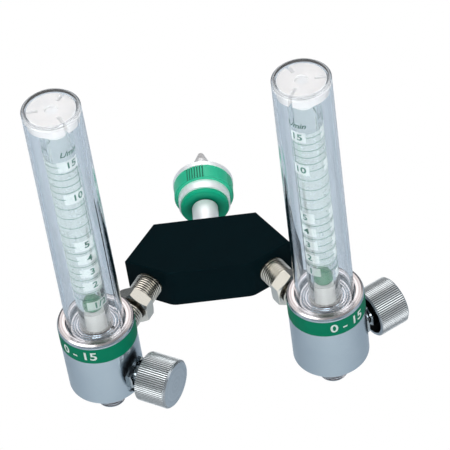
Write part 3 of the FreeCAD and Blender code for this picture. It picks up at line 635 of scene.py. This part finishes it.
def floor_material():
    """Plain pale surface that the camera sees as white, with painted light in front and behind."""
    mat, tree, out = new_material("floor_white")
    depth = component(tree, coordinates(tree), "Y")
    painted_light_front = ramp(tree, depth, 1.0, 0.0, start=FLOOR_LIGHT, end=FLOOR_DARK)
    painted_light_behind = ramp(tree, depth, 0.0, BEHIND_SHADE, *FLOOR_BEHIND)
    patches = noise(tree, coordinates(tree), scale=3.0, detail=2.0, rough=0.5)
    # Painted light on the floor, then made uneven in random patches.
    pale = calculated(tree, "MAXIMUM", painted_light_front, painted_light_behind)
    pale = calculated(tree, "MULTIPLY", pale, ramp(tree, patches, 0.9, 1.0))
    face = put(tree, add(tree, "ShaderNodeBsdfDiffuse"), Color=mixed_colour(tree, pale, *FLOOR_COLOURS))
    glow = put(tree, add(tree, "ShaderNodeEmission"), Strength=1.0)
    path = add(tree, "ShaderNodeLightPath")
    seen = mixed_shaders(tree, path.outputs["Is Camera Ray"], face, glow)
    tree.links.new(seen.outputs[0], out.inputs["Surface"])
    return mat


def add_floor():
    data = bpy.data.meshes.new("floor")
    corners = [(x * FLOOR_HALF, y * FLOOR_HALF, FLOOR_Z) for x, y in ((-1, -1), (1, -1), (1, 1), (-1, 1))]
    data.from_pydata(corners, [], [(0, 1, 2, 3)])
    data.materials.append(floor_material())
    floor = bpy.data.objects.new("floor", data)
    scene.collection.objects.link(floor)


def soft_light(name, place, width, height, power, colour=(1, 1, 1)):
    """A rectangular lamp that faces the middle of the part."""
    lamp = bpy.data.lights.new(name, "AREA")
    lamp.shape = "RECTANGLE"
    lamp.size = width
    lamp.size_y = height
    lamp.energy = power
    lamp.color = colour
    obj = bpy.data.objects.new(name, lamp)
    obj.location = place
    obj.rotation_mode = "QUATERNION"
    obj.rotation_quaternion = (MIDDLE - Vector(place)).to_track_quat("-Z", "Y")
    scene.collection.objects.link(obj)


def studio_world():
    """Soft surroundings, brighter towards the top, that the camera sees as white."""
    world = bpy.data.worlds.new("studio")
    world.use_nodes = True
    tree = world.node_tree
    tree.nodes.clear()
    out = tree.nodes.new("ShaderNodeOutputWorld")
    direction = add(tree, "ShaderNodeTexCoord").outputs["Generated"]
    sky = add(tree, "ShaderNodeValToRGB")
    put(tree, sky, Fac=ramp(tree, component(tree, direction, "Z"), 0.0, 1.0))
    stops = sky.color_ramp.elements
    for i, (height, colour) in enumerate(SKY):
        stop = stops[i] if i < 2 else stops.new(height)
        stop.position = height
        stop.color = (*colour, 1)
    dim = put(tree, add(tree, "ShaderNodeBackground"), Color=sky.outputs["Color"], Strength=SKY_LIGHT)
    white = put(tree, add(tree, "ShaderNodeBackground"), Color=(1, 1, 1), Strength=1.0)
    path = add(tree, "ShaderNodeLightPath")
    seen = mixed_shaders(tree, path.outputs["Is Camera Ray"], dim, white)
    tree.links.new(seen.outputs[0], out.inputs["Surface"])
    return world


add_floor()
soft_light("key", place=(-0.6, -0.2, 1.3), width=0.7, height=0.7, power=7.0)
soft_light("front", place=(-0.1, -1.4, 0.55), width=1.0, height=0.6, power=13.0)
soft_light("side", place=(1.05, -0.5, 0.85), width=0.7, height=0.7, power=5.0)
soft_light(
    "back", place=(0.0, 1.0, 1.15), width=1.4, height=0.8, power=6.5, colour=(1.0, 0.97, 0.96),
)
for sign in (-1, 1):
    soft_light(
        f"wing_{sign}", place=(1.05 * sign, 0.42, 1.05), width=0.8, height=0.8, power=1.35,
        colour=(1.0, 0.98, 0.95),
    )
scene.world = studio_world()
scene.view_settings.view_transform = "Standard"


# Camera, from a fit of the model's points to the picture. Lengths in the picture are pixels.

AZIMUTH = math.radians(-2.497)
ELEVATION = math.radians(45.264)
ROLL = math.radians(-8.552)
FOCAL = 2421.0
DISTANCE = 1.23937
MARK = Vector((0, -0.0475, 0.011))
MARK_X = 204.71
MARK_Y = 219.05
HALF_IMAGE = 225.0
SENSOR = 36.0

ahead = Vector((math.sin(AZIMUTH), math.cos(AZIMUTH), 0))
look = ahead * math.cos(ELEVATION) - UP * math.sin(ELEVATION)
level = Vector((math.cos(AZIMUTH), -math.sin(AZIMUTH), 0))
rise = level.cross(look)
right = level * math.cos(ROLL) + rise * math.sin(ROLL)
top = rise * math.cos(ROLL) - level * math.sin(ROLL)
ray = look + right * ((MARK_X - HALF_IMAGE) / FOCAL) - top * ((MARK_Y - HALF_IMAGE) / FOCAL)
spot = MARK - ray * DISTANCE

camera_data = bpy.data.cameras.new("camera")
camera_data.sensor_width = SENSOR
camera_data.lens = FOCAL * SENSOR / (2 * HALF_IMAGE)
camera_data.clip_start = 0.01
camera_data.clip_end = 20.0
camera = bpy.data.objects.new("camera", camera_data)
camera.matrix_world = Matrix(
    (
        (right.x, top.x, -look.x, spot.x),
        (right.y, top.y, -look.y, spot.y),
        (right.z, top.z, -look.z, spot.z),
        (0, 0, 0, 1),
    )
)
scene.collection.objects.link(camera)
scene.camera = camera
